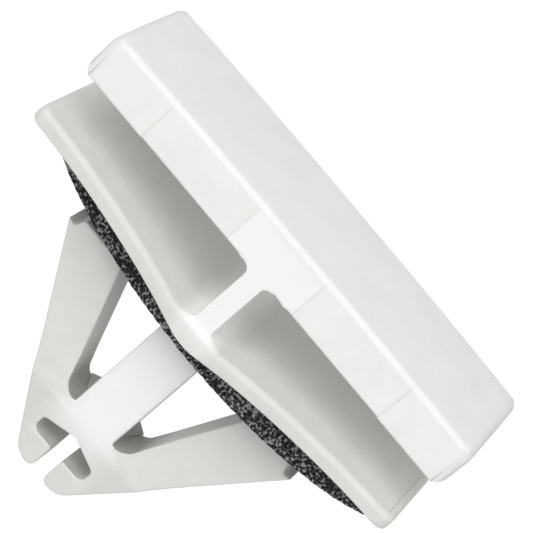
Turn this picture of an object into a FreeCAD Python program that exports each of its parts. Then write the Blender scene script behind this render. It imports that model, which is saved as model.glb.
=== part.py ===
import FreeCAD, Part
import math
import os

# Push-in moulding clip, in millimetres. The origin is the point where the stem's axis meets the
# panel. +Z points away from the panel to the head, +X runs along the head, and Y is the depth.
# The clip is one nylon moulding with a foam seal. The moulding is divided where it bends and at
# the witness lines across its head, so that each living hinge can turn.

Vector = FreeCAD.Vector

# Head: a long block that slides into the channel of the moulding being held.
HEAD_LENGTH = 30.0
HEAD_DEPTH = 9.4
HEAD_THICKNESS = 3.04
HEAD_CROWN = 0.18
HEAD_CORNER = 0.8
HEAD_EDGE_HIGH = 0.38
HEAD_EDGE_LOW = 0.2
INNER_LINE = 2.75
OUTER_LINE = 9.99
END_DROP = 0.05

# Neck: a web as deep as the head, thin along the head.
NECK_THICKNESS = 1.3
NECK_HEIGHT = 4.67
NECK_FILLET = 0.5
NECK_FOOT = 0.4

# Skirt: a V-shaped middle and two wings that curve up beside the neck.
SKIRT_LENGTH = 30.0
SKIRT_DEPTH = 10.2
SKIRT_CORNER = 0.8
WING_THICKNESS = 1.0
WING_ROOT = 2.2
WING_ROOT_ANGLE = 14.0
HUB_THICKNESS = 1.52
APEX_RADIUS = 3.6

# Seal: an oval foam pad, nipped thin under the middle of the skirt.
SEAL_LENGTH = 29.3
SEAL_WIDTH = 8.7
SEAL_TURN = -2.6
SEAL_NIP = 0.58
SEAL_BEND_RADIUS = 100.0
ADHESIVE = 0.1
STEM_CLEARANCE = 0.05

# Post: the straight middle of the anchor.
POST_WIDTH = 3.34
POST_DEPTH = 3.4
POST_CORNER = 0.12
WINDOW_FLOOR = -8.93
WINDOW_FILLET = 1.05
WINDOW_SHOULDER = 0.23
WEB_WIDTH = 1.03
WEB_HEIGHT = 0.57
WEB_DEPTH = 2.1

# Barb arms: each leans out from its crease and ends in a ledge that catches the panel's edge.
ARM_TIP_X = 9.85
LEDGE_HEIGHT = -1.5
LEDGE_WIDTH = 0.6
LEDGE_HOOK = 0.12
ARM_TOP = -0.85
RISER_LEAN = 0.25
OUTER_ANGLE = 31.8
INNER_ANGLE = 20.9
CREASE_OUTER = -9.7
ARM_DEPTH = 2.8
CREASE_RAMP = 0.5
ARM_TRAVEL = 11.0

# Tip: two hooked prongs below a keyhole slot.
SLOT_HALF = 2.15
SLOT_ROOF = -10.55
SLOT_ARCH_HALF = 0.8
SLOT_ARCH_DROP = 0.3
SLOT_EAVE = -11.3
SLOT_FLOOR = -12.38
SLOT_CORNER = 0.3
SLOT_SWEEP = 0.5
NOTCH = 1.0
TIP_HEIGHT = -14.5
TIP_INNER_RADIUS = 0.48
TIP_OUTER_RADIUS = 1.38
TIP_DEPTH = 2.6
PRONG_TRAVEL = 10.0

# Clearance round each hinge knuckle.
KNUCKLE_CLEARANCE = 0.03
KNUCKLE_MARGIN = 0.04
RELIEF_STEPS = 4

# Heights and places that follow from the values above.
APEX = SEAL_NIP + ADHESIVE
HUB_TOP = APEX + HUB_THICKNESS
HEAD_BOTTOM = HUB_TOP + NECK_HEIGHT
HEAD_TOP = HEAD_BOTTOM + HEAD_THICKNESS
ROOT_TURN = math.radians(WING_ROOT_ANGLE)
OUTER_TURN = math.radians(OUTER_ANGLE)
INNER_TURN = math.radians(INNER_ANGLE)
WING_RADIUS = (SKIRT_LENGTH / 2 - WING_ROOT) / math.sin(ROOT_TURN)
APEX_HALF = APEX_RADIUS * math.sin(ROOT_TURN)
APEX_RISE = APEX_RADIUS * (1 - math.cos(ROOT_TURN))
ROOT_RISE = APEX_RISE + (WING_ROOT - APEX_HALF) * math.tan(ROOT_TURN)
SIDES = {"right": 1, "left": -1}


def at(x, z, y=0.0):
    """Point at x and z in the plane at depth y."""
    return Vector(x, y, z)


def line(start, end):
    """Straight edge."""
    return Part.makeLine(start, end)


def arc_about(centre, radius, start, end):
    """Arc in an XZ plane, with its angles in radians from +X towards +Z."""
    points = []
    for angle in (start, (start + end) / 2, end):
        step = at(math.cos(angle), math.sin(angle)) * radius
        points.append(centre + step)
    return Part.Arc(*points).toShape()


def rounded_wire(corners):
    """Closed wire through (point, radius) corners, each rounded where its radius is above zero."""
    edges = []
    joints = []
    count = len(corners)
    for index, (point, radius) in enumerate(corners):
        before = (corners[index - 1][0] - point).normalize()
        after = (corners[(index + 1) % count][0] - point).normalize()
        if radius <= 0:
            joints.append((point, point))
            continue
        half = before.getAngle(after) / 2
        reach = radius / math.tan(half)
        bisector = (before + after).normalize()
        middle = point + bisector * (radius / math.sin(half) - radius)
        start = point + before * reach
        end = point + after * reach
        edges.append(Part.Arc(start, middle, end).toShape())
        joints.append((start, end))
    for index in range(count):
        start = joints[index][1]
        end = joints[(index + 1) % count][0]
        if start.distanceToPoint(end) > 1e-6:
            edges.append(line(start, end))
    return Part.Wire(Part.__sortEdges__(edges))


def extrude_through(wire, direction):
    """Solid swept both ways from a wire, by the whole length of direction in all."""
    face = Part.Face(wire)
    face.translate(direction * -0.5)
    return face.extrude(direction)


def mirrored(shape, side):
    """The shape itself on the right, or its mirror image on the left."""
    if side > 0:
        return shape
    return shape.mirror(Vector(0, 0, 0), Vector(1, 0, 0))


def slab(low_x, high_x):
    """Tall deep block between two X planes, for taking one section out of a body."""
    reach = HEAD_DEPTH + SKIRT_DEPTH
    height = 4 * HEAD_TOP
    corner = Vector(low_x, -reach, -height)
    return Part.makeBox(high_x - low_x, 2 * reach, 2 * height, corner)


def knuckle(centre, radius):
    """Round bar along Y, as deep as the whole clip, about a hinge axis."""
    reach = HEAD_DEPTH + SKIRT_DEPTH
    return Part.makeCylinder(radius, 2 * reach, centre - Vector(0, reach, 0), Vector(0, 1, 0))


def turned(shape, axis, degrees):
    """Copy of a shape turned about an axis along Y, where plus turns +Z towards +X."""
    copy = shape.copy()
    copy.rotate(axis, Vector(0, 1, 0), degrees)
    return copy


def relieved(fixed, moving, axis, degrees):
    """Fixed piece with room cut out for a piece that turns from rest to the given angle."""
    result = fixed
    for step in range(1, RELIEF_STEPS + 1):
        result = result.cut(turned(moving, axis, degrees * step / RELIEF_STEPS))
    return result


# Head

def crown_height(x):
    """Height of the head's crowned top at x, flat over the middle section."""
    run = max(abs(x) - INNER_LINE, 0)
    span = HEAD_LENGTH / 2 - INNER_LINE
    return HEAD_TOP + HEAD_CROWN * (1 - (run / span) ** 2)


def head_envelope(bottom):
    """Whole head with rounded edges and crowned top, down to a given underside."""
    half_length = HEAD_LENGTH / 2
    half_depth = HEAD_DEPTH / 2
    lid = HEAD_TOP + HEAD_CROWN
    across = rounded_wire([
        (Vector(0, -half_depth, bottom), HEAD_EDGE_LOW),
        (Vector(0, half_depth, bottom), HEAD_EDGE_LOW),
        (Vector(0, half_depth, lid), HEAD_EDGE_HIGH),
        (Vector(0, -half_depth, lid), HEAD_EDGE_HIGH),
    ])
    along = rounded_wire([
        (at(-half_length, bottom), HEAD_CORNER),
        (at(half_length, bottom), HEAD_CORNER),
        (at(half_length, crown_height(half_length)), HEAD_CORNER),
        (at(INNER_LINE, lid), 0),
        (at(-INNER_LINE, lid), 0),
        (at(-half_length, crown_height(half_length)), HEAD_CORNER),
    ])
    plan = rounded_wire([
        (at(-half_length, 0, -half_depth), HEAD_CORNER),
        (at(half_length, 0, -half_depth), HEAD_CORNER),
        (at(half_length, 0, half_depth), HEAD_CORNER),
        (at(-half_length, 0, half_depth), HEAD_CORNER),
    ])
    body = extrude_through(across, Vector(2 * HEAD_LENGTH, 0, 0))
    body = body.common(extrude_through(along, Vector(0, 2 * HEAD_DEPTH, 0)))
    return body.common(extrude_through(plan, Vector(0, 0, 4 * HEAD_TOP)))


def head_sections():
    """The five sections of the head between its witness lines."""
    middle = head_envelope(HEAD_BOTTOM)
    ends = head_envelope(HEAD_BOTTOM - END_DROP)
    sections = {"head_centre": middle.common(slab(-INNER_LINE, INNER_LINE))}
    for name, side in SIDES.items():
        inner = middle.common(slab(INNER_LINE, OUTER_LINE))
        end = ends.common(slab(OUTER_LINE, HEAD_LENGTH))
        sections["head_inner_" + name] = mirrored(inner, side)
        sections["head_end_" + name] = mirrored(end, side)
    return sections


def neck():
    """Web from the skirt to the head, flared where it meets each of them."""
    half = NECK_THICKNESS / 2
    flare = half + NECK_FILLET
    shoulder = HEAD_BOTTOM - NECK_FILLET
    foot = half + NECK_FOOT
    ankle = HUB_TOP + NECK_FOOT
    edges = [
        line(at(-foot, HUB_TOP), at(foot, HUB_TOP)),
        line(at(flare, HEAD_BOTTOM), at(-flare, HEAD_BOTTOM)),
    ]
    for side in SIDES.values():
        half_edges = [
            arc_about(at(foot, ankle), NECK_FOOT, -math.pi / 2, -math.pi),
            line(at(half, ankle), at(half, shoulder)),
            arc_about(at(flare, shoulder), NECK_FILLET, math.pi, math.pi / 2),
        ]
        edges.extend(mirrored(edge, side) for edge in half_edges)
    wire = Part.Wire(Part.__sortEdges__(edges))
    return extrude_through(wire, Vector(0, min(HEAD_DEPTH, SKIRT_DEPTH), 0))


# Skirt

def underside(drop):
    """Edges of the skirt's right half along its underside, lowered square to it by drop."""
    apex_centre = at(0, APEX + APEX_RADIUS)
    apex = arc_about(apex_centre, APEX_RADIUS + drop, -math.pi / 2, ROOT_TURN - math.pi / 2)
    slope = at(math.sin(ROOT_TURN), -math.cos(ROOT_TURN)) * drop
    start = at(APEX_HALF, APEX + APEX_RISE) + slope
    end = at(WING_ROOT, APEX + ROOT_RISE) + slope
    wing = arc_about(wing_centre(), WING_RADIUS - drop, math.pi / 2 + ROOT_TURN, math.pi / 2)
    return [apex, line(start, end), wing]


def wing_centre():
    """Centre of the arc that the wing's underside follows."""
    root = at(WING_ROOT, APEX + ROOT_RISE)
    return root + at(math.sin(ROOT_TURN), -math.cos(ROOT_TURN)) * WING_RADIUS


def wing_axis():
    """Hinge axis of the right wing, at half its thickness."""
    root = at(WING_ROOT, APEX + ROOT_RISE)
    return root + at(-math.sin(ROOT_TURN), math.cos(ROOT_TURN)) * (WING_THICKNESS / 2)


def skirt_plan():
    """Tall block with the skirt's outline seen from above, rounded at its corners."""
    half_length = SKIRT_LENGTH / 2
    half_depth = SKIRT_DEPTH / 2
    plan = rounded_wire([
        (at(-half_length, 0, -half_depth), SKIRT_CORNER),
        (at(half_length, 0, -half_depth), SKIRT_CORNER),
        (at(half_length, 0, half_depth), SKIRT_CORNER),
        (at(-half_length, 0, half_depth), SKIRT_CORNER),
    ])
    return extrude_through(plan, Vector(0, 0, 4 * HEAD_TOP))


def skirt_hub():
    """V-shaped middle of the skirt, with a round socket for each wing."""
    foot = NECK_THICKNESS / 2 + NECK_FOOT
    lift = at(-math.sin(ROOT_TURN), math.cos(ROOT_TURN)) * WING_THICKNESS
    root_top = at(WING_ROOT, APEX + ROOT_RISE) + lift
    edges = []
    for side in SIDES.values():
        half_edges = underside(0)[:2]
        half_edges.append(line(at(WING_ROOT, APEX + ROOT_RISE), root_top))
        half_edges.append(line(root_top, at(foot, HUB_TOP)))
        edges.extend(mirrored(edge, side) for edge in half_edges)
    edges.append(line(at(-foot, HUB_TOP), at(foot, HUB_TOP)))
    wire = Part.Wire(Part.__sortEdges__(edges))
    body = extrude_through(wire, Vector(0, SKIRT_DEPTH, 0))
    for side in SIDES.values():
        socket = knuckle(wing_axis(), WING_THICKNESS / 2)
        body = body.cut(mirrored(socket, side))
    return body


def skirt_wing():
    """Right wing: an even strip on an arc, with a round root that turns in the hub's socket."""
    centre = wing_centre()
    upright = math.pi / 2
    top_radius = WING_RADIUS + WING_THICKNESS
    root_low = at(WING_ROOT, APEX + ROOT_RISE)
    root_high = centre + (root_low - centre) * (top_radius / WING_RADIUS)
    edges = [
        arc_about(centre, WING_RADIUS, upright + ROOT_TURN, upright),
        line(centre + at(0, WING_RADIUS), centre + at(0, top_radius)),
        arc_about(centre, top_radius, upright + ROOT_TURN, upright),
        line(root_high, root_low),
    ]
    wire = Part.Wire(Part.__sortEdges__(edges))
    strip = extrude_through(wire, Vector(0, SKIRT_DEPTH, 0)).common(skirt_plan())
    root = knuckle(wing_axis(), WING_THICKNESS / 2 - KNUCKLE_CLEARANCE)
    depth = Part.makeBox(SKIRT_LENGTH, SKIRT_DEPTH, 4 * HEAD_TOP,
                         Vector(0, -SKIRT_DEPTH / 2, -HEAD_TOP))
    return strip.fuse(root.common(depth)).removeSplitter()


# Seal

def stem_hole():
    """Clear passage for the post through the seal and its adhesive."""
    width = POST_WIDTH + 2 * STEM_CLEARANCE
    depth = POST_DEPTH + 2 * STEM_CLEARANCE
    return Part.makeBox(width, depth, 2 * HEAD_TOP, Vector(-width / 2, -depth / 2, -HEAD_TOP))


def seal_adhesive():
    """Thin film that follows the underside of the skirt's middle."""
    film_edges = []
    for side in SIDES.values():
        upper = underside(0)[:2]
        lower = underside(ADHESIVE)[:2]
        film_edges.extend(mirrored(edge, side) for edge in upper + lower)
        tie = line(upper[1].Vertexes[-1].Point, lower[1].Vertexes[-1].Point)
        film_edges.append(mirrored(tie, side))
    wire = Part.Wire(Part.__sortEdges__(film_edges))
    film = extrude_through(wire, Vector(0, SKIRT_DEPTH, 0))
    return film.common(seal_plan()).cut(stem_hole())


def seal_plan():
    """Tall oval block with the seal's outline, turned a little on the stem."""
    oval = Part.Ellipse(Vector(0, 0, 0), SEAL_LENGTH / 2, SEAL_WIDTH / 2)
    block = extrude_through(Part.Wire(oval.toShape()), Vector(0, 0, 4 * HEAD_TOP))
    block.rotate(Vector(0, 0, 0), Vector(0, 0, 1), SEAL_TURN)
    return block


def seal():
    """Foam pad between the skirt's underside and a gently bent bottom."""
    half = SKIRT_LENGTH / 2
    bend_centre = at(0, SEAL_BEND_RADIUS)
    reach = math.asin(half / SEAL_BEND_RADIUS)
    down = -math.pi / 2
    bottom = arc_about(bend_centre, SEAL_BEND_RADIUS, down - reach, down + reach)
    edges = [bottom]
    for side in SIDES.values():
        upper = underside(ADHESIVE)
        end_high = upper[2].Vertexes[-1].Point
        if upper[2].Vertexes[0].Point.x > end_high.x:
            end_high = upper[2].Vertexes[0].Point
        end_low = bend_centre + at(math.sin(reach), -math.cos(reach)) * SEAL_BEND_RADIUS
        end = line(end_high, end_low)
        edges.extend(mirrored(edge, side) for edge in upper + [end])
    wire = Part.Wire(Part.__sortEdges__(edges))
    body = extrude_through(wire, Vector(0, SKIRT_DEPTH, 0))
    return body.common(seal_plan()).cut(stem_hole())


# Anchor

def outer_x(z):
    """X of the anchor's outer slope at height z."""
    return ARM_TIP_X - (LEDGE_HEIGHT - z) * math.tan(OUTER_TURN)


def crease_ends():
    """Inner and outer ends of the crease where the right arm bends."""
    inner = at(POST_WIDTH / 2 + WINDOW_SHOULDER, WINDOW_FLOOR)
    outer = at(outer_x(CREASE_OUTER), CREASE_OUTER)
    return inner, outer


def prong_cut_ends():
    """Inner and outer ends of the line where the right prong bends."""
    inner = at(SLOT_HALF, (SLOT_EAVE + SLOT_FLOOR) / 2)
    gap = (outer_x(inner.z) - inner.x) * math.cos(OUTER_TURN)
    outer = inner + at(math.cos(OUTER_TURN), -math.sin(OUTER_TURN)) * gap
    return inner, outer


def hinge_of(ends, margin):
    """Axis point at the middle of a bend line, and the radius of its knuckle."""
    inner, outer = ends
    axis = (inner + outer) * 0.5
    slope = at(math.sin(OUTER_TURN), math.cos(OUTER_TURN))
    reach = abs((outer - axis).cross(slope).y)
    return axis, reach - margin


def beside(ends, hub_side):
    """Deep block on one side of a bend line, where hub_side is a unit step across the line."""
    inner, outer = ends
    run = (outer - inner).normalize() * HEAD_LENGTH
    far = hub_side * HEAD_LENGTH
    outline = [inner - run, outer + run, outer + run + far, inner - run + far, inner - run]
    return extrude_through(Part.makePolygon(outline), Vector(0, POST_DEPTH, 0))


def across_bend(ends):
    """Unit step square to a bend line, pointing up."""
    inner, outer = ends
    step = (outer - inner).cross(Vector(0, 1, 0)).normalize()
    return step if step.z > 0 else step * -1


def taper(origin, up, stations):
    """Wedge about the XZ plane whose half depth follows (distance along up, half depth)."""
    along = up.cross(Vector(0, 1, 0)).normalize() * (4 * HEAD_LENGTH)
    front = [origin + up * run + Vector(0, -half, 0) for run, half in stations]
    back = [origin + up * run + Vector(0, half, 0) for run, half in reversed(stations)]
    return extrude_through(Part.makePolygon(front + back + front[:1]), along)


def post():
    """Straight stem from the skirt's underside down to the hub."""
    half_width = POST_WIDTH / 2
    half_depth = POST_DEPTH / 2
    plan = rounded_wire([
        (at(-half_width, 0, -half_depth), POST_CORNER),
        (at(half_width, 0, -half_depth), POST_CORNER),
        (at(half_width, 0, half_depth), POST_CORNER),
        (at(-half_width, 0, half_depth), POST_CORNER),
    ])
    bar = extrude_through(plan, Vector(0, 0, 4 * HEAD_TOP))
    window = Part.makeBox(HEAD_LENGTH, HEAD_DEPTH, HUB_TOP - WINDOW_FLOOR,
                          Vector(-HEAD_LENGTH / 2, -HEAD_DEPTH / 2, WINDOW_FLOOR))
    bar = bar.common(window)
    edges = []
    for side in SIDES.values():
        lid_edges = underside(0)[:2]
        lid_edges.append(line(at(WING_ROOT, APEX + ROOT_RISE), at(WING_ROOT, 2 * HEAD_TOP)))
        edges.extend(mirrored(edge, side) for edge in lid_edges)
    edges.append(line(at(-WING_ROOT, 2 * HEAD_TOP), at(WING_ROOT, 2 * HEAD_TOP)))
    wire = Part.Wire(Part.__sortEdges__(edges))
    return bar.cut(extrude_through(wire, Vector(0, HEAD_DEPTH, 0)))


def corner_webs(arm):
    """Webs in the back corners between post and arms, clear of the flexing arms."""
    side = POST_WIDTH / 2
    back = POST_DEPTH / 2
    front_foot = at(side, WINDOW_FLOOR, back - WEB_DEPTH)
    back_foot = at(side, WINDOW_FLOOR, back)
    outer = at(side + WEB_WIDTH, WINDOW_FLOOR, back)
    crest = at(side, WINDOW_FLOOR + WEB_HEIGHT, back)
    triangles = [
        (front_foot, back_foot, outer), (front_foot, outer, crest),
        (front_foot, crest, back_foot), (back_foot, crest, outer),
    ]
    faces = [Part.Face(Part.makePolygon([a, b, c, a])) for a, b, c in triangles]
    web = Part.Solid(Part.Shell(faces))
    axis, _ = hinge_of(crease_ends(), KNUCKLE_MARGIN)
    web = relieved(web.cut(arm), arm, axis, -ARM_TRAVEL)
    return web.fuse(mirrored(web, -1))


def barb_arm():
    """Right arm: knuckle at the crease, wide paddle, and a ledge that catches the panel."""
    crease_inner, crease_outer = crease_ends()
    axis, radius = hinge_of(crease_ends(), KNUCKLE_MARGIN)
    fillet_reach = WINDOW_FILLET * math.tan((math.pi / 2 - INNER_TURN) / 2)
    bend = at(crease_inner.x + fillet_reach, WINDOW_FLOOR)
    inner_top_x = bend.x + (ARM_TOP - WINDOW_FLOOR) * math.tan(INNER_TURN)
    riser_foot = at(ARM_TIP_X - LEDGE_WIDTH, LEDGE_HEIGHT - LEDGE_HOOK)
    wire = rounded_wire([
        (crease_inner, 0),
        (bend, WINDOW_FILLET),
        (at(inner_top_x, ARM_TOP), 0.3),
        (at(riser_foot.x - RISER_LEAN, ARM_TOP), 0.2),
        (riser_foot, 0.08),
        (at(ARM_TIP_X, LEDGE_HEIGHT), 0.1),
        (crease_outer, 0),
    ])
    paddle = extrude_through(wire, Vector(0, POST_DEPTH, 0))
    up = across_bend(crease_ends())
    root = knuckle(axis, radius).common(beside(crease_ends(), up * -1))
    arm = paddle.fuse(root).removeSplitter()
    stations = [
        (-HEAD_LENGTH, POST_DEPTH / 2),
        (0, POST_DEPTH / 2),
        (CREASE_RAMP, ARM_DEPTH / 2),
        (HEAD_LENGTH, ARM_DEPTH / 2),
    ]
    return arm.common(taper(axis, up, stations))


def tip_taper():
    """Wedge that thins the anchor's depth from the creases down to the tip."""
    stations = [
        (2 * TIP_HEIGHT, TIP_DEPTH / 2),
        (TIP_HEIGHT, TIP_DEPTH / 2),
        (CREASE_OUTER, POST_DEPTH / 2),
        (0, POST_DEPTH / 2),
    ]
    return taper(Vector(0, 0, 0), Vector(0, 0, 1), stations)


def tip_prong():
    """Right prong: knuckle beside the slot, hooked shoulder, and rounded lead-in tip."""
    cut_inner, cut_outer = prong_cut_ends()
    axis, radius = hinge_of(prong_cut_ends(), KNUCKLE_MARGIN)
    wire = rounded_wire([
        (cut_inner, 0),
        (at(SLOT_HALF, SLOT_FLOOR), SLOT_SWEEP),
        (at(NOTCH / 2, SLOT_FLOOR), 0.2),
        (at(NOTCH / 2, TIP_HEIGHT), TIP_INNER_RADIUS),
        (at(outer_x(TIP_HEIGHT), TIP_HEIGHT), TIP_OUTER_RADIUS),
        (cut_outer, 0),
    ])
    body = extrude_through(wire, Vector(0, POST_DEPTH, 0))
    up = across_bend(prong_cut_ends())
    root = knuckle(axis, radius).common(beside(prong_cut_ends(), up))
    return body.fuse(root).removeSplitter().common(tip_taper())


def hub(arm, prong):
    """Arrow-shaped crosspiece: carries the arms above and the prongs beside its keyhole slot."""
    crease_inner, crease_outer = crease_ends()
    cut_inner, cut_outer = prong_cut_ends()
    eave = at(SLOT_HALF, SLOT_EAVE)
    arch = at(SLOT_ARCH_HALF, SLOT_ROOF - SLOT_ARCH_DROP)
    right = [
        (at(0, WINDOW_FLOOR), 0),
        (crease_inner, 0),
        (crease_outer, 0),
        (cut_outer, 0),
        (cut_inner, 0),
        (eave, SLOT_CORNER),
        (arch, 0.5),
        (at(0, SLOT_ROOF), 0),
    ]
    body = extrude_through(rounded_wire(right), Vector(0, POST_DEPTH, 0))
    body = body.common(tip_taper())
    arm_axis, arm_radius = hinge_of(crease_ends(), KNUCKLE_MARGIN)
    prong_axis, prong_radius = hinge_of(prong_cut_ends(), KNUCKLE_MARGIN)
    body = body.cut(knuckle(arm_axis, arm_radius + KNUCKLE_CLEARANCE))
    body = body.cut(knuckle(prong_axis, prong_radius + KNUCKLE_CLEARANCE))
    body = relieved(body, arm, arm_axis, -ARM_TRAVEL)
    body = relieved(body, prong, prong_axis, PRONG_TRAVEL)
    return body.fuse(mirrored(body, -1)).removeSplitter()


def build():
    """All nodes of the clip by name."""
    arm = barb_arm()
    prong = tip_prong()
    nodes = head_sections()
    nodes["neck"] = neck()
    nodes["skirt_hub"] = skirt_hub()
    nodes["seal"] = seal()
    nodes["seal_adhesive"] = seal_adhesive()
    nodes["post"] = post().fuse(corner_webs(arm)).removeSplitter()
    nodes["hub"] = hub(arm, prong)
    for name, side in SIDES.items():
        nodes["skirt_wing_" + name] = mirrored(skirt_wing(), side)
        nodes["barb_arm_" + name] = mirrored(arm, side)
        nodes["tip_prong_" + name] = mirrored(prong, side)
    return nodes


os.makedirs("parts", exist_ok=True)
for node, shape in build().items():
    solids = shape.Solids
    print(node, len(solids), "solid(s), valid", shape.isValid(), "volume %.3f" % shape.Volume)
    single = solids[0] if len(solids) == 1 else shape
    single.exportStep("parts/" + node + ".step")
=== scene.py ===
"""Looks of a push-in moulding clip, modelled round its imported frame.

The clip is one nylon moulding with a foam seal. Meshes are shaped in millimetres, in the frame's
own axes, and are scaled to metres when they are finished.
"""

import logging
import math
from dataclasses import dataclass
from enum import Enum

import bmesh
import bpy
from mathutils import Matrix, Vector, noise


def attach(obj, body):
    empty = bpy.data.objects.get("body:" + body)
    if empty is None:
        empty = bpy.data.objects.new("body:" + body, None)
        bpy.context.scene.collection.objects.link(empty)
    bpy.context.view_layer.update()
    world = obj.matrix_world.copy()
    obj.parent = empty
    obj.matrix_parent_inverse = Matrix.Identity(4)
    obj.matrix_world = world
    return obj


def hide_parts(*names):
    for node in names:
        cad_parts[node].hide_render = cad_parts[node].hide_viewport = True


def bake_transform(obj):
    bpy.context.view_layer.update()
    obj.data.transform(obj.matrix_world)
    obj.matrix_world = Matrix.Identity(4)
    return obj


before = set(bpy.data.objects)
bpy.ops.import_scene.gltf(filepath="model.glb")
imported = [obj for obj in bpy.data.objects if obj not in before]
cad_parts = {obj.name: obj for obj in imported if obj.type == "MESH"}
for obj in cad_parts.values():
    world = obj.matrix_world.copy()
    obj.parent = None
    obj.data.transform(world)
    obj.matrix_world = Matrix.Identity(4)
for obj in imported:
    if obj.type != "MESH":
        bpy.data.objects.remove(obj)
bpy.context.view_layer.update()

LOG = logging.getLogger("clip")
MM = 0.001
PER_MM = 1000.0
SAME_PLACE = 1e-4
SHARP = math.radians(34)
SMOOTH_LIMIT = math.radians(50)


class Side(Enum):
    """Half of the clip, with the sign of its X."""

    RIGHT = 1
    LEFT = -1

    @property
    def word(self) -> str:
        """Name of the side in piece and body names."""
        return self.name.lower()


class Slot(Enum):
    """Material slots of the record that the new pieces stand for."""

    NYLON = "nylon"
    FOAM = "foam"


# Shader building


class Value:
    """Number socket that Python arithmetic turns into Math nodes."""

    def __init__(self, shader: "Shader", socket: bpy.types.NodeSocket) -> None:
        """Keeps the socket and the shader that it belongs to."""
        self.shader = shader
        self.socket = socket

    def _with(self, operation: str, first: object, second: object = None) -> "Value":
        """Result of one Math node on one or two values.

        Args:
            operation: name of the operation.
            first: its first value.
            second: its second value, where it has one.

        Returns:
            The result.
        """
        sockets = {0: first}
        if second is not None:
            sockets[1] = second
        made = self.shader.node("ShaderNodeMath", {"operation": operation}, sockets)
        return Value(self.shader, made.outputs[0])

    def __add__(self, other: object) -> "Value":
        """Sum."""
        return self._with("ADD", self, other)

    __radd__ = __add__

    def __sub__(self, other: object) -> "Value":
        """Difference."""
        return self._with("SUBTRACT", self, other)

    def __rsub__(self, other: object) -> "Value":
        """Difference with this value taken away."""
        return self._with("SUBTRACT", other, self)

    def __mul__(self, other: object) -> "Value":
        """Product."""
        return self._with("MULTIPLY", self, other)

    __rmul__ = __mul__

    def __abs__(self) -> "Value":
        """Size without sign."""
        return self._with("ABSOLUTE", self)


class Shader:
    """One material and the nodes that make it."""

    def __init__(self, name: str) -> None:
        """Starts an empty node tree.

        Args:
            name: name of the material.
        """
        self.material = bpy.data.materials.new(name)
        self.material.use_nodes = True
        self.tree = self.material.node_tree
        self.tree.nodes.clear()
        self.place = self.node("ShaderNodeTexCoord").outputs["Object"]

    def node(self, kind: str, settings: dict | None = None,
             sockets: dict | None = None) -> bpy.types.Node:
        """Makes one node.

        Args:
            kind: type of the node.
            settings: its properties, set first.
            sockets: value or link of each input, by name or number.

        Returns:
            The node.
        """
        made = self.tree.nodes.new(kind)
        for key, value in (settings or {}).items():
            setattr(made, key, value)
        for key, value in (sockets or {}).items():
            if isinstance(value, Value):
                value = value.socket
            if isinstance(value, bpy.types.NodeSocket):
                self.tree.links.new(value, made.inputs[key])
            else:
                made.inputs[key].default_value = value
        return made

    def axes(self) -> tuple[Value, Value, Value]:
        """Place on the object along X, Y and Z, in millimetres."""
        split = self.node("ShaderNodeSeparateXYZ", None, {0: self.place})
        return tuple(Value(self, output) * PER_MM for output in split.outputs)

    def cloud(self, size: float, detail: float = 3.0) -> Value:
        """Soft noise from 0 to 1.

        Args:
            size: width of its patches in millimetres.
            detail: number of finer layers.

        Returns:
            The noise.
        """
        made = self.node("ShaderNodeTexNoise", {"noise_dimensions": "3D"},
                         {"Vector": self.place, "Scale": PER_MM / size, "Detail": detail})
        return Value(self, made.outputs[0])

    def cells(self, size: float) -> Value:
        """Distance from the middle of round cells.

        Args:
            size: width of a cell in millimetres.

        Returns:
            The distance, about 0 in the middle and 0.7 at the walls.
        """
        made = self.node("ShaderNodeTexVoronoi", {"feature": "F1"},
                         {"Vector": self.place, "Scale": PER_MM / size})
        return Value(self, made.outputs["Distance"])

    def step(self, value: Value, low: float, high: float) -> Value:
        """Smooth rise from 0 at low to 1 at high.

        Args:
            value: the value that rises.
            low: where the result is 0.
            high: where the result is 1.

        Returns:
            The result.
        """
        made = self.node("ShaderNodeMapRange", {"interpolation_type": "SMOOTHSTEP"},
                         {"Value": value, "From Min": low, "From Max": high})
        return Value(self, made.outputs[0])

    def blend(self, share: object, first: tuple, second: tuple) -> bpy.types.NodeSocket:
        """Colour between two colours.

        Args:
            share: 0 gives the first colour and 1 the second.
            first: red, green and blue.
            second: red, green and blue.

        Returns:
            The colour's socket.
        """
        made = self.node("ShaderNodeMix", {"data_type": "RGBA", "clamp_factor": True},
                         {0: share, 6: (*first, 1.0), 7: (*second, 1.0)})
        return made.outputs[2]

    def relief(self, height: Value, depth: float, strength: float) -> bpy.types.NodeSocket:
        """Bumped normal.

        Args:
            height: height from 0 to 1.
            depth: real depth of the relief in millimetres.
            strength: share of the relief that shows.

        Returns:
            The normal's socket.
        """
        made = self.node("ShaderNodeBump", None,
                         {"Height": height, "Distance": depth * MM, "Strength": strength})
        return made.outputs[0]

    def surface(self, sockets: dict) -> bpy.types.Material:
        """Joins a Principled shader to the output.

        Args:
            sockets: value or link of the shader's inputs.

        Returns:
            The finished material.
        """
        body = self.node("ShaderNodeBsdfPrincipled", None, sockets)
        self.node("ShaderNodeOutputMaterial", None, {"Surface": body.outputs[0]})
        return self.material


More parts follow.
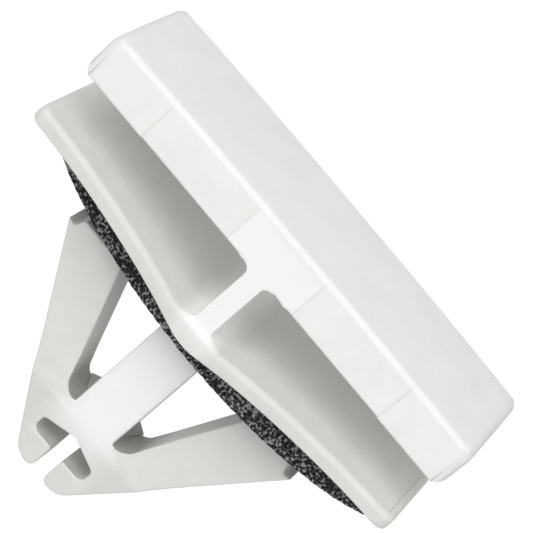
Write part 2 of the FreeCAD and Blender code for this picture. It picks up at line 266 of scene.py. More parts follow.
@dataclass(frozen=True)
class Nylon:
    """Natural white nylon, brighter in a band that is partly a real polish and partly painted
    light.
    """

    name: str
    polish_and_painted_light: tuple = ()
    bright: tuple = (0.955, 0.955, 0.940)
    plain: tuple = (0.700, 0.700, 0.672)
    level: float = 0.0
    lines: tuple = ()
    fade: tuple = (9.2, 9.9)
    low_fade: tuple = ()
    low_share: float = 0.45
    roughness: float = 0.50

    def make(self) -> bpy.types.Material:
        """Material with mottling, fine grain, a middle band of polish and painted light, and
        witness lines.

        Returns:
            The material.
        """
        shader = Shader(self.name)
        x, _, z = shader.axes()
        mottle = shader.cloud(1.9, 4.0)
        speck = shader.cloud(0.42, 2.0)
        grain = shader.cloud(0.13, 3.0)
        share = self.level + 0.34 * (mottle - 0.5) + 0.16 * (speck - 0.5)
        gloss = self.roughness + 0.16 * (mottle - 0.5) + 0.10 * (speck - 0.5)
        # The band's lower roughness is a real polish. Its paler colour is painted sheen where
        # faces look towards the key light. fade keeps it off the tops as painted shade, and
        # low_fade dims it lower down as painted shade.
        if self.polish_and_painted_light:
            polish_and_painted_light = 1 - shader.step(abs(x), *self.polish_and_painted_light)
            polish_and_painted_light = polish_and_painted_light * (1 - shader.step(z, *self.fade))
            if self.low_fade:
                lit = shader.step(z, *self.low_fade)
                polish_and_painted_light = polish_and_painted_light * (self.low_share + (1 - self.low_share) * lit)
            share = share + (1 - self.level) * polish_and_painted_light
            gloss = gloss - 0.08 * polish_and_painted_light
        height = 0.6 * grain + 0.4 * speck
        for line in self.lines:
            away = abs(abs(x) - line)
            mark = 1 - shader.step(away, 0.02, 0.13)
            mark = mark * (1 - shader.step(z, *self.fade))
            share = share - 0.34 * mark
            height = height - 1.2 * mark
        return shader.surface({
            "Base Color": shader.blend(share, self.plain, self.bright),
            "Roughness": gloss,
            "Normal": shader.relief(height, 0.020, 0.30),
            "IOR": 1.53,
            "Specular IOR Level": 0.30,
        })


@dataclass(frozen=True)
class Foam:
    """Black open-cell foam with pale broken cell walls and pale specks that are partly painted
    glints.
    """

    name: str
    dark: tuple = (0.002, 0.002, 0.002)
    pale: tuple = (0.420, 0.420, 0.425)
    cell: float = 0.24

    def make(self) -> bpy.types.Material:
        """Material with cells, pale crumbs that are partly paler wall and partly painted glints,
        and a deep relief.

        Returns:
            The material.
        """
        shader = Shader(self.name)
        cells = shader.cells(self.cell)
        patch = shader.cloud(1.3, 3.0)
        crumb = shader.cloud(0.18, 2.0)
        walls = shader.step(cells, 0.38, 0.70)
        # Pale crumbs are partly paler cell wall and partly painted glints off the cells.
        crumbs_and_glints = shader.step(crumb + 0.30 * (patch - 0.5), 0.49, 0.66)
        share = 0.01 + 0.10 * walls * patch + 0.72 * crumbs_and_glints
        return shader.surface({
            "Base Color": shader.blend(share, self.dark, self.pale),
            "Roughness": 0.82 + 0.16 * crumb,
            "Normal": shader.relief(0.7 * cells + 0.5 * crumb, 0.16, 0.85),
            "Specular IOR Level": 0.25,
        })


@dataclass(frozen=True)
class Adhesive:
    """Thin clear-grey film of pressure adhesive."""

    name: str

    def make(self) -> bpy.types.Material:
        """Material with faint drag streaks and trapped specks.

        Returns:
            The material.
        """
        shader = Shader(self.name)
        streak = shader.cloud(0.8, 2.0)
        speck = shader.cloud(0.12, 2.0)
        share = 0.5 + 0.5 * (streak - 0.5) + 0.4 * (speck - 0.5)
        return shader.surface({
            "Base Color": shader.blend(share, (0.30, 0.30, 0.28), (0.50, 0.49, 0.45)),
            "Roughness": 0.22 + 0.20 * speck,
            "Normal": shader.relief(streak, 0.03, 0.4),
        })


# Mesh building


@dataclass(frozen=True)
class Corner:
    """Corner of an outline in the XZ plane, with the radius that rounds it."""

    x: float
    z: float
    radius: float = 0.0
    segments: int = 6


class Shape:
    """A piece while it is being shaped, in millimetres."""

    def __init__(self) -> None:
        """Starts an empty mesh."""
        self.bm = bmesh.new()

    def outline(self, corners: list[Corner], depth: float,
                seams: list[tuple[Corner, Corner]] = ()) -> "Shape":
        """Extrudes an outline along Y and rounds its corners.

        Args:
            corners: the outline in order.
            depth: size along Y.
            seams: pairs of corners whose side stays open until close() is called.

        Returns:
            This shape.
        """
        front = [self.bm.verts.new((c.x, -depth / 2, c.z)) for c in corners]
        self.bm.faces.new(front)
        grown = bmesh.ops.extrude_face_region(self.bm, geom=self.bm.faces[:])
        moved = [item for item in grown["geom"] if isinstance(item, bmesh.types.BMVert)]
        bmesh.ops.translate(self.bm, verts=moved, vec=(0, depth, 0))
        bmesh.ops.recalc_face_normals(self.bm, faces=self.bm.faces[:])
        for first, last in seams:
            middle = Vector(((first.x + last.x) / 2, 0, (first.z + last.z) / 2))
            side = [face for face in self.bm.faces
                    if (face.calc_center_median() - middle).length < SAME_PLACE]
            bmesh.ops.delete(self.bm, geom=side, context="FACES_ONLY")
        for corner in corners:
            if corner.radius > 0:
                self.round_at(corner)
        return self

    def round_at(self, corner: Corner) -> None:
        """Rounds the edge along Y that stands at one corner of the outline.

        Args:
            corner: corner of the outline, with its radius.
        """
        found = [edge for edge in self.bm.edges
                 if len(edge.link_faces) == 2
                 and all(abs(v.co.x - corner.x) < SAME_PLACE
                         and abs(v.co.z - corner.z) < SAME_PLACE for v in edge.verts)]
        if found:
            turn = found[0].calc_face_angle()
            self.bevel(found, corner.radius * math.tan(turn / 2), corner.segments)

    def bevel(self, edges: list[bmesh.types.BMEdge], offset: float, segments: int) -> None:
        """Bevels edges with a round profile.

        Args:
            edges: edges to round.
            offset: radius of the rounding.
            segments: number of its strips.
        """
        bmesh.ops.bevel(self.bm, geom=edges, offset=offset, offset_type="OFFSET",
                        affect="EDGES", segments=segments, profile=0.5, material=-1,
                        clamp_overlap=False)

    def soften(self, offset: float, segments: int = 3) -> "Shape":
        """Rounds every sharp edge that has a face on both sides.

        Args:
            offset: radius of the rounding.
            segments: number of its strips.

        Returns:
            This shape.
        """
        sharp = [edge for edge in self.bm.edges
                 if len(edge.link_faces) == 2 and edge.calc_face_angle() > SHARP]
        self.bevel(sharp, offset, segments)
        return self

    def loops(self, origin: Vector, step: Vector, count: int) -> "Shape":
        """Adds edge loops square to a direction.

        Args:
            origin: place of the loop before the first.
            step: move from one loop to the next.
            count: number of loops.

        Returns:
            This shape.
        """
        for index in range(1, count + 1):
            self.cut(origin + step * index, step, keep_all=True)
        return self

    def cut(self, point: Vector, normal: Vector, keep_all: bool = False) -> "Shape":
        """Cuts along a plane, and clears the side that the normal points to.

        Args:
            point: a point of the plane.
            normal: direction square to it.
            keep_all: leaves both sides, with an edge loop between them.

        Returns:
            This shape.
        """
        everything = self.bm.verts[:] + self.bm.edges[:] + self.bm.faces[:]
        bmesh.ops.bisect_plane(self.bm, geom=everything, dist=1e-5, plane_co=point,
                               plane_no=normal, clear_outer=not keep_all)
        return self

    def shave(self, point: Vector, normal: Vector) -> "Shape":
        """Cuts away everything beyond a plane and closes the cut."""
        return self.cut(point, normal).close()

    def round_off(self, corner: Vector, first: Vector, second: Vector, radius: float,
                  facets: int) -> "Shape":
        """Rounds a long convex edge by shaving planes that touch its arc.

        Args:
            corner: a point of the edge.
            first: outward direction of one face.
            second: outward direction of the other.
            radius: radius of the arc.
            facets: number of planes.

        Returns:
            This shape.
        """
        centre = corner - (first + second) * radius
        for index in range(facets):
            angle = (index + 0.5) / facets * math.pi / 2
            outward = first * math.cos(angle) + second * math.sin(angle)
            self.shave(centre + outward * radius, outward)
        return self

    def close(self) -> "Shape":
        """Fills every open loop with a face.

        Returns:
            This shape.
        """
        open_edges = [edge for edge in self.bm.edges if len(edge.link_faces) == 1]
        if open_edges:
            bmesh.ops.holes_fill(self.bm, edges=open_edges, sides=0)
        return self

    def mirror(self) -> "Shape":
        """Adds the mirror image across X and joins it along the middle.

        Returns:
            This shape.
        """
        everything = self.bm.verts[:] + self.bm.edges[:] + self.bm.faces[:]
        bmesh.ops.mirror(self.bm, geom=everything, matrix=Matrix.Identity(4),
                         merge_dist=SAME_PLACE, axis="X")
        bmesh.ops.remove_doubles(self.bm, verts=self.bm.verts[:], dist=SAME_PLACE)
        return self

    def flip(self, side: Side) -> "Shape":
        """Turns a right-hand shape into its mirror image for the left.

        Args:
            side: the side that is wanted.

        Returns:
            This shape.
        """
        if side is Side.LEFT:
            bmesh.ops.scale(self.bm, vec=(-1, 1, 1), verts=self.bm.verts[:])
        return self

    def piece(self, name: str, material: bpy.types.Material, slot: Slot) -> bpy.types.Object:
        """Finishes the mesh as an object in metres.

        Args:
            name: name of the object and its mesh.
            material: its finish.
            slot: not used.

        Returns:
            The object, at the origin.
        """
        bmesh.ops.dissolve_degenerate(self.bm, dist=SAME_PLACE, edges=self.bm.edges[:])
        bmesh.ops.scale(self.bm, vec=(MM, MM, MM), verts=self.bm.verts[:])
        bmesh.ops.recalc_face_normals(self.bm, faces=self.bm.faces[:])
        if self.bm.calc_volume(signed=True) < 0:
            bmesh.ops.reverse_faces(self.bm, faces=self.bm.faces[:])
        for face in self.bm.faces:
            face.smooth = True
        mesh = bpy.data.meshes.new(name)
        self.bm.to_mesh(mesh)
        self.bm.free()
        mesh.set_sharp_from_angle(angle=SMOOTH_LIMIT)
        mesh.materials.append(material)
        made = bpy.data.objects.new(name, mesh)
        bpy.context.scene.collection.objects.link(made)
        even = made.modifiers.new("even_normals", "WEIGHTED_NORMAL")
        even.keep_sharp = True
        even.weight = 100
        LOG.info("piece %s: %d faces", name, len(mesh.polygons))
        return made


def blend_between(piece: bpy.types.Object, body: str) -> None:
    """Bakes a piece's place into its mesh.

    Args:
        piece: the finished piece.
        body: not used.
    """
    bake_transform(piece)


# Sub-assemblies


@dataclass
class Head:
    """Crowned block in five sections between the witness lines."""

    length: float = 30.0
    depth: float = 9.4
    bottom: float = 6.87
    top: float = 9.91
    crown: float = 0.18
    cross_crown: float = 0.12
    corner: float = 0.8
    edge_high: float = 0.38
    edge_low: float = 0.2
    inner_line: float = 2.75
    outer_line: float = 9.99
    end_drop: float = 0.05
    facets: int = 7

    def block(self, bottom: float) -> Shape:
        """Whole head down to a given underside, before it is divided.

        Args:
            bottom: height of the underside.

        Returns:
            The block.
        """
        shape = Shape()
        bmesh.ops.create_cube(shape.bm, size=1.0)
        height = self.top - bottom
        bmesh.ops.scale(shape.bm, vec=(self.length, self.depth, height),
                        verts=shape.bm.verts[:])
        bmesh.ops.translate(shape.bm, vec=(0, 0, bottom + height / 2), verts=shape.bm.verts[:])
        half, deep = self.length / 2, self.depth / 2
        up = Vector((0, 0, 1))
        for sign in (1, -1):
            out = Vector((sign, 0, 0))
            fore = Vector((0, sign, 0))
            edges = [
                (Vector((sign * half, 0, self.top)), out, up, self.corner),
                (Vector((sign * half, 0, bottom)), out, -up, self.corner),
                (Vector((0, sign * deep, self.top)), fore, up, self.edge_high),
                (Vector((0, sign * deep, bottom)), fore, -up, self.edge_low),
            ]
            for across in (1, -1):
                edges.append((Vector((sign * half, across * deep, 0)), out,
                              Vector((0, across, 0)), self.corner))
            for corner, first, second, radius in edges:
                shape.round_off(corner, first, second, radius, self.facets)
        shape.loops(Vector((-half, 0, 0)), Vector((1.0, 0, 0)), 29)
        shape.loops(Vector((0, -deep, 0)), Vector((0, 0.94, 0)), 9)
        for vert in shape.bm.verts:
            run = max(abs(vert.co.x) - self.inner_line, 0) / (half - self.inner_line)
            lift = self.crown * (1 - run * run)
            lift -= self.cross_crown * (vert.co.y / deep) ** 2
            share = min(max((vert.co.z - bottom) / height, 0), 1)
            vert.co.z += lift * share * share
        return shape

    def section(self, low: float, high: float, bottom: float) -> Shape:
        """Part of the head between two planes across X.

        Args:
            low: X of the inner plane.
            high: X of the outer plane.
            bottom: height of the underside.

        Returns:
            The section.
        """
        shape = self.block(bottom)
        shape.shave(Vector((high, 0, 0)), Vector((1, 0, 0)))
        return shape.shave(Vector((low, 0, 0)), Vector((-1, 0, 0)))

    def build(self) -> None:
        """Makes the five sections, all on the core."""
        # The centre section's front is paler as painted sheen, beside a real polish, and fade
        # keeps it off the top. The witness lines are real marks.
        zone = (self.inner_line - 0.16, self.inner_line + 0.16)
        finish = Nylon("head_nylon", polish_and_painted_light=zone, level=0.76,
                       lines=(self.inner_line, self.outer_line)).make()
        end_bottom = self.bottom - self.end_drop
        parts = {"head_centre": self.section(-self.inner_line, self.inner_line, self.bottom)}
        for side in Side:
            inner = self.section(self.inner_line, self.outer_line, self.bottom)
            end = self.section(self.outer_line, self.length, end_bottom)
            parts["head_inner_" + side.word] = inner.flip(side)
            parts["head_end_" + side.word] = end.flip(side)
        for node, shape in parts.items():
            made = shape.piece(node + "_block", finish, Slot.NYLON)
            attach(made, "core")
            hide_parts(node)


@dataclass
class Skirt:
    """Neck and V-shaped middle in one web, with a wing on each side."""

    depth: float = 10.2
    seam: float = 1.2
    neck_depth: float = 9.4
    neck_half: float = 0.65
    neck_fillet: float = 0.5
    neck_foot: float = 0.4
    hub_top: float = 2.20
    head_bottom: float = 6.87
    head_edge: float = 0.2
    apex: float = 0.68
    apex_radius: float = 3.6
    root: float = 2.2
    turn: float = math.radians(14.0)
    thickness: float = 1.0
    reach: float = 15.0
    corner: float = 0.8
    soft: float = 0.40
    low_edge: float = 0.10
    back_edge: float = 0.10
    back_blunt: tuple = (11.0, 14.0)
    arc_share: float = 0.97
    bend_end: float = 3.6

    @property
    def apex_half(self) -> float:
        """Half width of the rounded apex."""
        return self.apex_radius * math.sin(self.turn)

    @property
    def apex_point(self) -> float:
        """Height where the two slopes would meet without the apex's rounding."""
        rise = self.apex_radius * (1 - math.cos(self.turn))
        return self.apex + rise - self.apex_half * math.tan(self.turn)

    def slope_z(self, x: float) -> float:
        """Height of the underside's straight slope at x."""
        return self.apex_point + x * math.tan(self.turn)

    @property
    def wing_radius(self) -> float:
        """Radius of the wing's underside."""
        return (self.reach - self.root) / math.sin(self.turn)

    @property
    def root_top(self) -> Corner:
        """Top of the wing's root, where its arc starts."""
        return Corner(self.root - math.sin(self.turn) * self.thickness,
                      self.slope_z(self.root) + math.cos(self.turn) * self.thickness)

    def seam_top(self) -> float:
        """Height of the upper side at the seam."""
        return self.upper(self.seam)

    def upper(self, x: float) -> float:
        """Height of the upper side at any x.

        Args:
            x: distance from the middle.

        Returns:
            The height.
        """
        away, foot, top = abs(x), self.neck_half + self.neck_foot, self.root_top
        if away < top.x:
            run = max(away - foot, 0) / (top.x - foot)
            return self.hub_top + run * (top.z - self.hub_top)
        outer = self.wing_radius + self.thickness
        centre = self.slope_z(self.root) - math.cos(self.turn) * self.wing_radius
        return centre + math.sqrt(max(outer ** 2 - (self.reach - away) ** 2, 0))

    def underside(self, x: float) -> float:
        """Height of the underside at any x.

        Args:
            x: distance from the middle.

        Returns:
            The height.
        """
        away = abs(x)
        if away < self.apex_half:
            drop = math.sqrt(self.apex_radius ** 2 - away ** 2)
            return self.apex + self.apex_radius - drop
        if away < self.root:
            return self.slope_z(away)
        centre = self.slope_z(self.root) - math.cos(self.turn) * self.wing_radius
        return centre + math.sqrt(max(self.wing_radius ** 2 - (self.reach - away) ** 2, 0))

    def round_rims(self, shape: Shape) -> None:
        """Rounds the upper rim wide and the lower rim fine, then sharpens the back's upper rim.

        Args:
            shape: the skirt's middle or a wing, open at its seams.
        """
        split = self.thickness / 2
        for offset, high in ((self.soft, True), (self.low_edge, False)):
            found = [edge for edge in shape.bm.edges
                     if len(edge.link_faces) == 2 and edge.calc_face_angle() > SHARP
                     and self.is_high(edge, split) == high]
            shape.bevel(found, offset, 5 if high else 3)
        for vert in shape.bm.verts:
            behind = self.depth / 2 - vert.co.y
            below = self.upper(vert.co.x) - vert.co.z
            if behind < self.soft + 0.01 and below < self.soft + 0.03:
                start, end = self.back_blunt
                blunt = min(max((abs(vert.co.x) - start) / (end - start), 0), 1)
                share = self.back_edge / self.soft
                share += (1 - share) * blunt
                vert.co.y = self.depth / 2 - behind * share
                vert.co.z = self.upper(vert.co.x) - below * share

    def is_high(self, edge: bmesh.types.BMEdge, split: float) -> bool:
        """Says whether an edge is on the upper side, by its height above the underside."""
        middle = (edge.verts[0].co + edge.verts[1].co) / 2
        return middle.z - self.underside(middle.x) > split

    def hub(self) -> Shape:
        """V-shaped middle of the skirt, open at its two seams.

        Returns:
            The middle.
        """
        right = [
            Corner(self.seam, self.slope_z(self.seam)),
            Corner(self.seam, self.seam_top()),
            Corner(self.neck_half + self.neck_foot, self.hub_top),
        ]
        left = [Corner(-c.x, c.z) for c in reversed(right)]
        bottom = Corner(0, self.apex_point, self.apex_radius, 10)
        shape = Shape().outline([bottom] + right + left, self.depth,
                                [(right[0], right[1]), (left[-1], left[-2])])
        self.round_rims(shape)
        return shape.close()

    def neck(self) -> Shape:
        """Web between the head and the skirt, flared where it meets each of them.

        Returns:
            The neck.
        """
        flare = self.neck_half + self.neck_fillet
        lip = self.head_bottom + self.head_edge * 0.9
        spread = self.neck_half + self.neck_foot + 0.03
        outline = [
            Corner(spread, self.hub_top - 0.05),
            Corner(spread, self.hub_top),
            Corner(self.neck_half, self.hub_top, self.neck_foot, 7),
            Corner(self.neck_half, self.head_bottom, self.neck_fillet, 9),
            Corner(flare + 0.06, self.head_bottom),
            Corner(flare + 0.06, lip),
        ]
        left = [Corner(-c.x, c.z, c.radius, c.segments) for c in reversed(outline)]
        return Shape().outline(outline + left, self.neck_depth)

    def wing(self) -> Shape:
        """Right wing, dense across its bend.

        Returns:
            The wing.
        """
        top = self.root_top
        low_run = self.wing_radius * math.tan(self.turn / 2)
        high_run = (self.wing_radius + self.thickness) * math.tan(self.turn / 2)
        tip_low = self.underside(self.reach)
        bend = self.wing_radius * self.arc_share
        low_bend = Corner(self.root + low_run * math.cos(self.turn), tip_low, bend, 26)
        high_bend = Corner(top.x + high_run * math.cos(self.turn), tip_low + self.thickness,
                           bend, 26)
        outline = [
            Corner(self.seam, self.slope_z(self.seam)),
            low_bend,
            Corner(self.reach + 1.5, tip_low),
            Corner(self.reach + 1.5, tip_low + self.thickness),
            high_bend,
            Corner(top.x, top.z),
            Corner(self.seam, self.seam_top()),
        ]
        shape = Shape().outline(outline, self.depth, [(outline[0], outline[-1])])
        seam_rim = [edge for edge in shape.bm.edges if len(edge.link_faces) == 1]
        bmesh.ops.holes_fill(shape.bm, edges=seam_rim, sides=0)
        shape.shave(Vector((self.reach, 0, 0)), Vector((1, 0, 0)))
        out = Vector((1, 0, 0))
        for across in (1, -1):
            side = Vector((0, across, 0))
            edge = Vector((self.reach, across * self.depth / 2, 0))
            shape.round_off(edge, out, side, self.corner, 7)
        seam = [face for face in shape.bm.faces
                if abs(face.calc_center_median().x - self.seam) < SAME_PLACE]
        bmesh.ops.delete(shape.bm, geom=seam, context="FACES_ONLY")
        self.round_rims(shape)
        shape.loops(Vector((self.seam, 0, 0)), Vector((0.2, 0, 0)), 13)
        return shape.close()

    def build(self) -> None:
        """Makes the neck and the middle on the core, and the two wings."""
        # The neck's middle is paler as painted sheen, beside a real polish, and low_fade dims it
        # towards the hub as painted shade.
        finish = Nylon("web_nylon", polish_and_painted_light=(0.7, 1.9), level=0.14, low_fade=(0.9, 2.6),
                       low_share=0.25).make()
        for node, shape in (("neck", self.neck()), ("skirt_hub", self.hub())):
            made = shape.piece(node + "_web", finish, Slot.NYLON)
            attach(made, "core")
            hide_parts(node)
        for side in Side:
            made = self.wing().flip(side).piece("skirt_strip_" + side.word, finish, Slot.NYLON)
            blend_between(made, "wing_" + side.word)
            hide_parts("skirt_wing_" + side.word)


@dataclass
class Seal:
    """Oval foam pad, nipped thin under the middle of the skirt, in two halves."""

    skirt: Skirt
    length: float = 29.3
    width: float = 8.7
    turn: float = math.radians(-2.6)
    bend_radius: float = 100.0
    adhesive: float = 0.1
    wing_gap: float = 0.03
    hole_half_x: float = 1.72
    hole_half_y: float = 1.75
    rim_steps: int = 520
    rows: int = 5
    fray: float = 0.075

    def roof(self, x: float) -> float:
        """Height of the foam's top at x."""
        ease = min(max((abs(x) - self.skirt.root) / 0.8, 0), 1)
        return self.skirt.underside(x) - self.adhesive + ease * (self.adhesive - self.wing_gap)

    def floor(self, x: float) -> float:
        """Height of the foam's bent underside at x."""
        return self.bend_radius - math.sqrt(self.bend_radius ** 2 - x * x)

    def half(self) -> Shape:
        """Right half of the pad, open-celled at its rim.

        Returns:
            The half.
        """
        shape = Shape()
        mark = shape.bm.verts.layers.float.new("rim")
        bmesh.ops.create_circle(shape.bm, cap_ends=True, radius=0.5, segments=self.rim_steps)
        bmesh.ops.scale(shape.bm, vec=(self.length, self.width, 1), verts=shape.bm.verts[:])
        bmesh.ops.rotate(shape.bm, cent=(0, 0, 0), verts=shape.bm.verts[:],
                         matrix=Matrix.Rotation(self.turn, 3, "Z"))
        shape.cut(Vector((0, 0, 0)), Vector((-1, 0, 0)))
        shape.loops(Vector((0, 0, 0)), Vector((0.43, 0, 0)), 34)
        shape.loops(Vector((0, -4.55, 0)), Vector((0, 0.7, 0)), 12)
        for sign in (1, -1):
            shape.cut(Vector((0, sign * self.hole_half_y, 0)), Vector((0, 1, 0)), True)
        shape.cut(Vector((self.hole_half_x, 0, 0)), Vector((1, 0, 0)), True)
        inside = [face for face in shape.bm.faces
                  if face.calc_center_median().x < self.hole_half_x
                  and abs(face.calc_center_median().y) < self.hole_half_y]
        bmesh.ops.delete(shape.bm, geom=inside, context="FACES")
        rim = {vert for edge in shape.bm.edges if len(edge.link_faces) == 1
               for vert in edge.verts}
        inner = {vert for vert in rim if vert.co.x < self.hole_half_x + SAME_PLACE
                 and abs(vert.co.y) < self.hole_half_y + SAME_PLACE}
        outer = {vert for vert in rim - inner if vert.co.x > SAME_PLACE
                 or abs(vert.co.y) > self.width / 2 - 0.1}
        base = shape.bm.faces[:]
        for vert in outer:
            vert[mark] = 1.0
        grown = bmesh.ops.extrude_face_region(shape.bm, geom=base)
        roof = {item for item in grown["geom"] if isinstance(item, bmesh.types.BMVert)}
        for vert in shape.bm.verts:
            vert.co.z = self.roof(vert.co.x) if vert in roof else self.floor(vert.co.x)
        walls = [edge for edge in shape.bm.edges
                 if (edge.verts[0] in roof) != (edge.verts[1] in roof)]
        bmesh.ops.subdivide_edges(shape.bm, edges=walls, cuts=self.rows, use_grid_fill=True)
        self.tear(shape, mark)
        return shape

    def tear(self, shape: Shape, mark: object) -> None:
        """Frays the rim and lets the underside swell softly.

        Args:
            shape: the pad's half.
            mark: layer that is 1 on the rim.
        """
        for vert in shape.bm.verts:
            flat = Vector((vert.co.x, vert.co.y, 0))
            outward = flat.normalized()
            coarse = noise.noise(vert.co * 2.1)
            fine = noise.noise(vert.co * 6.5 + Vector((9, 4, 2)))
            if vert[mark] > 0.1:
                vert.co += outward * self.fray * (0.9 * coarse + 1.1 * fine - 0.55)
            inner = self.floor(vert.co.x) + 0.05
            if vert.co.z < inner and abs(vert.co.x) > 0.05:
                vert.co.z += 0.05 * (0.5 + 0.5 * noise.noise(vert.co * 1.7))

    def build(self) -> None:
        """Makes both halves and dresses the adhesive film."""
        finish = Foam("seal_foam").make()
        for side in Side:
            half = self.half()
            if side is Side.LEFT:
                bmesh.ops.rotate(half.bm, cent=(0, 0, 0), verts=half.bm.verts[:],
                                 matrix=Matrix.Rotation(math.pi, 3, "Z"))
            made = half.piece("foam_seal_" + side.word, finish, Slot.FOAM)
            blend_between(made, "wing_" + side.word)
            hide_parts("seal")
        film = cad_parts["seal_adhesive"]
        film.material_slots[0].material = Adhesive("seal_adhesive_film").make()


@dataclass
class Anchor:
    """Stem and hub on the core, with two barbed arms and two tip prongs that flex."""

    depth: float = 3.4
    post_half: float = 1.67
    post_top: float = 1.05
    window_floor: float = -8.93
    shoulder: float = 0.23
    window_fillet: float = 1.05
    inner_turn: float = math.radians(20.9)
    outer_turn: float = math.radians(31.8)
    tip_x: float = 9.85
    ledge: float = -1.5
    ledge_width: float = 0.6
    ledge_hook: float = 0.12
    arm_top: float = -0.85
    riser_lean: float = 0.25
    crease_outer: float = -9.7
    arm_depth: float = 2.8
    ramp: float = 0.6
    long_ramp: float = 2.6
    slot_half: float = 2.15
    slot_roof: float = -10.55
    slot_eave: float = -11.3
    slot_floor: float = -12.38
    notch_half: float = 0.5
    slot_sweep: float = 0.5
    eave_corner: float = 0.3
    tip: float = -14.5
    tip_inner: float = 0.48
    tip_outer: float = 1.38
    tip_depth: float = 2.6
    web_width: float = 1.03
    web_height: float = 0.57
    web_depth: float = 2.1
    web_inset: float = 0.02
    web_foot: tuple = ((0.5, 0.03), (0.74, 0.16))
    soft: float = 0.15

    def outer_x(self, z: float) -> float:
        """X of the outer slope at height z."""
        return self.tip_x - (self.ledge - z) * math.tan(self.outer_turn)

    @property
    def crease(self) -> tuple[Corner, Corner]:
        """Inner and outer ends of the crease where the right arm bends."""
        return (Corner(self.post_half + self.shoulder, self.window_floor),
                Corner(self.outer_x(self.crease_outer), self.crease_outer))

    @property
    def prong_line(self) -> tuple[Corner, Corner]:
        """Inner and outer ends of the line where the right prong bends.

        Returns:
            The two ends.
        """
        z = (self.slot_eave + self.slot_floor) / 2
        gap = (self.outer_x(z) - self.slot_half) * math.cos(self.outer_turn)
        return (Corner(self.slot_half, z),
                Corner(self.slot_half + math.cos(self.outer_turn) * gap,
                       z - math.sin(self.outer_turn) * gap))

    @staticmethod
    def upward(line: tuple[Corner, Corner]) -> tuple[Vector, Vector]:
        """Middle of a bend line and the unit step square to it, pointing up.

        Args:
            line: inner and outer end of the bend line.

        Returns:
            The middle and the step.
        """
        inner, outer = line
        run = Vector((outer.x - inner.x, 0, outer.z - inner.z)).normalized()
        middle = Vector(((inner.x + outer.x) / 2, 0, (inner.z + outer.z) / 2))
        return middle, Vector((-run.z, 0, run.x))

    @staticmethod
    def ease(share: float) -> float:
        """Smooth rise from 0 at 0 to 1 at 1."""
        share = min(max(share, 0), 1)
        return share * share * (3 - 2 * share)

    def tip_taper(self, shape: Shape) -> None:
        """Thins the depth from the creases down to the tip.

        Args:
            shape: a piece of the anchor.
        """
        for vert in shape.bm.verts:
            share = (self.crease_outer - vert.co.z) / (self.crease_outer - self.tip)
            share = min(max(share, 0), 1)
            vert.co.y *= 1 - share * (1 - self.tip_depth / self.depth)

    def stem(self) -> Shape:
        """Post and arrow-shaped hub.

        Returns:
            The stem.
        """
        crease_in, crease_out = self.crease
        cut_in, cut_out = self.prong_line
        top = Corner(0, self.post_top)
        roof = Corner(0, self.slot_roof)
        outline = [
            top,
            Corner(self.post_half, self.post_top),
            Corner(self.post_half, self.window_floor, 0.18, 4),
            crease_in,
            crease_out,
            cut_out,
            cut_in,
            Corner(self.slot_half, self.slot_eave, self.eave_corner, 5),
            Corner(0.8, self.slot_roof - 0.3, 0.5, 4),
            roof,
        ]
        seams = [(top, roof), (crease_in, crease_out), (cut_in, cut_out)]
        shape = Shape().outline(outline, self.depth, seams)
        shape.loops(Vector((0, 0, self.crease_outer + 0.4)), Vector((0, 0, -0.4)), 8)
        self.tip_taper(shape)
        shape.soften(self.soft)
        return shape.mirror().close()

    def corner_web(self) -> Shape:
        """Right web in the back corner between post and arm, lying on the arm's fillet.

        Returns:
            The web.
        """
        side, floor = self.post_half - self.web_inset, self.window_floor
        back = self.depth / 2 - self.web_inset
        points = [(side, back - self.web_depth, floor), (side, back, floor),
                  (side, back, floor + self.web_height)]
        for share, lift in self.web_foot:
            points.append((side + self.web_width * share, back, floor + lift))
        shape = Shape()
        for point in points:
            shape.bm.verts.new(point)
        bmesh.ops.convex_hull(shape.bm, input=shape.bm.verts[:])
        return shape

    def arm(self) -> Shape:
        """Right arm above its crease.

        Returns:
            The arm.
        """
        crease_in, crease_out = self.crease
        fillet_run = self.window_fillet * math.tan((math.pi / 2 - self.inner_turn) / 2)
        bend = Corner(crease_in.x + fillet_run + 0.002, self.window_floor,
                      self.window_fillet, 10)
        top_x = bend.x + (self.arm_top - self.window_floor) * math.tan(self.inner_turn)
        foot = Corner(self.tip_x - self.ledge_width, self.ledge - self.ledge_hook)
        outline = [
            crease_in,
            bend,
            Corner(top_x, self.arm_top, 0.3, 5),
            Corner(foot.x - self.riser_lean, self.arm_top),
            foot,
            Corner(self.tip_x, self.ledge),
            crease_out,
        ]
        shape = Shape().outline(outline, self.depth, [(crease_in, crease_out)])
        middle, up = self.upward(self.crease)
        shape.loops(middle, up * 0.13, 20)
        for vert in shape.bm.verts:
            run = (vert.co - middle).dot(up)
            share = 0.35 * self.ease(run / self.ramp) + 0.65 * self.ease(run / self.long_ramp)
            vert.co.y *= 1 - share * (1 - self.arm_depth / self.depth)
        shape.soften(self.soft)
        return shape.close()

    def prong(self) -> Shape:
        """Right prong below its bend line.

        Returns:
            The prong.
        """
        cut_in, cut_out = self.prong_line
        outline = [
            cut_in,
            Corner(self.slot_half, self.slot_floor, self.slot_sweep, 7),
            Corner(self.notch_half, self.slot_floor, 0.2, 4),
            Corner(self.notch_half, self.tip, self.tip_inner, 7),
            Corner(self.outer_x(self.tip), self.tip, self.tip_outer, 12),
            cut_out,
        ]
        shape = Shape().outline(outline, self.depth, [(cut_in, cut_out)])
        middle, up = self.upward(self.prong_line)
        shape.loops(middle, up * -0.12, 8)
        self.tip_taper(shape)
        shape.soften(self.soft)
        return shape.close()

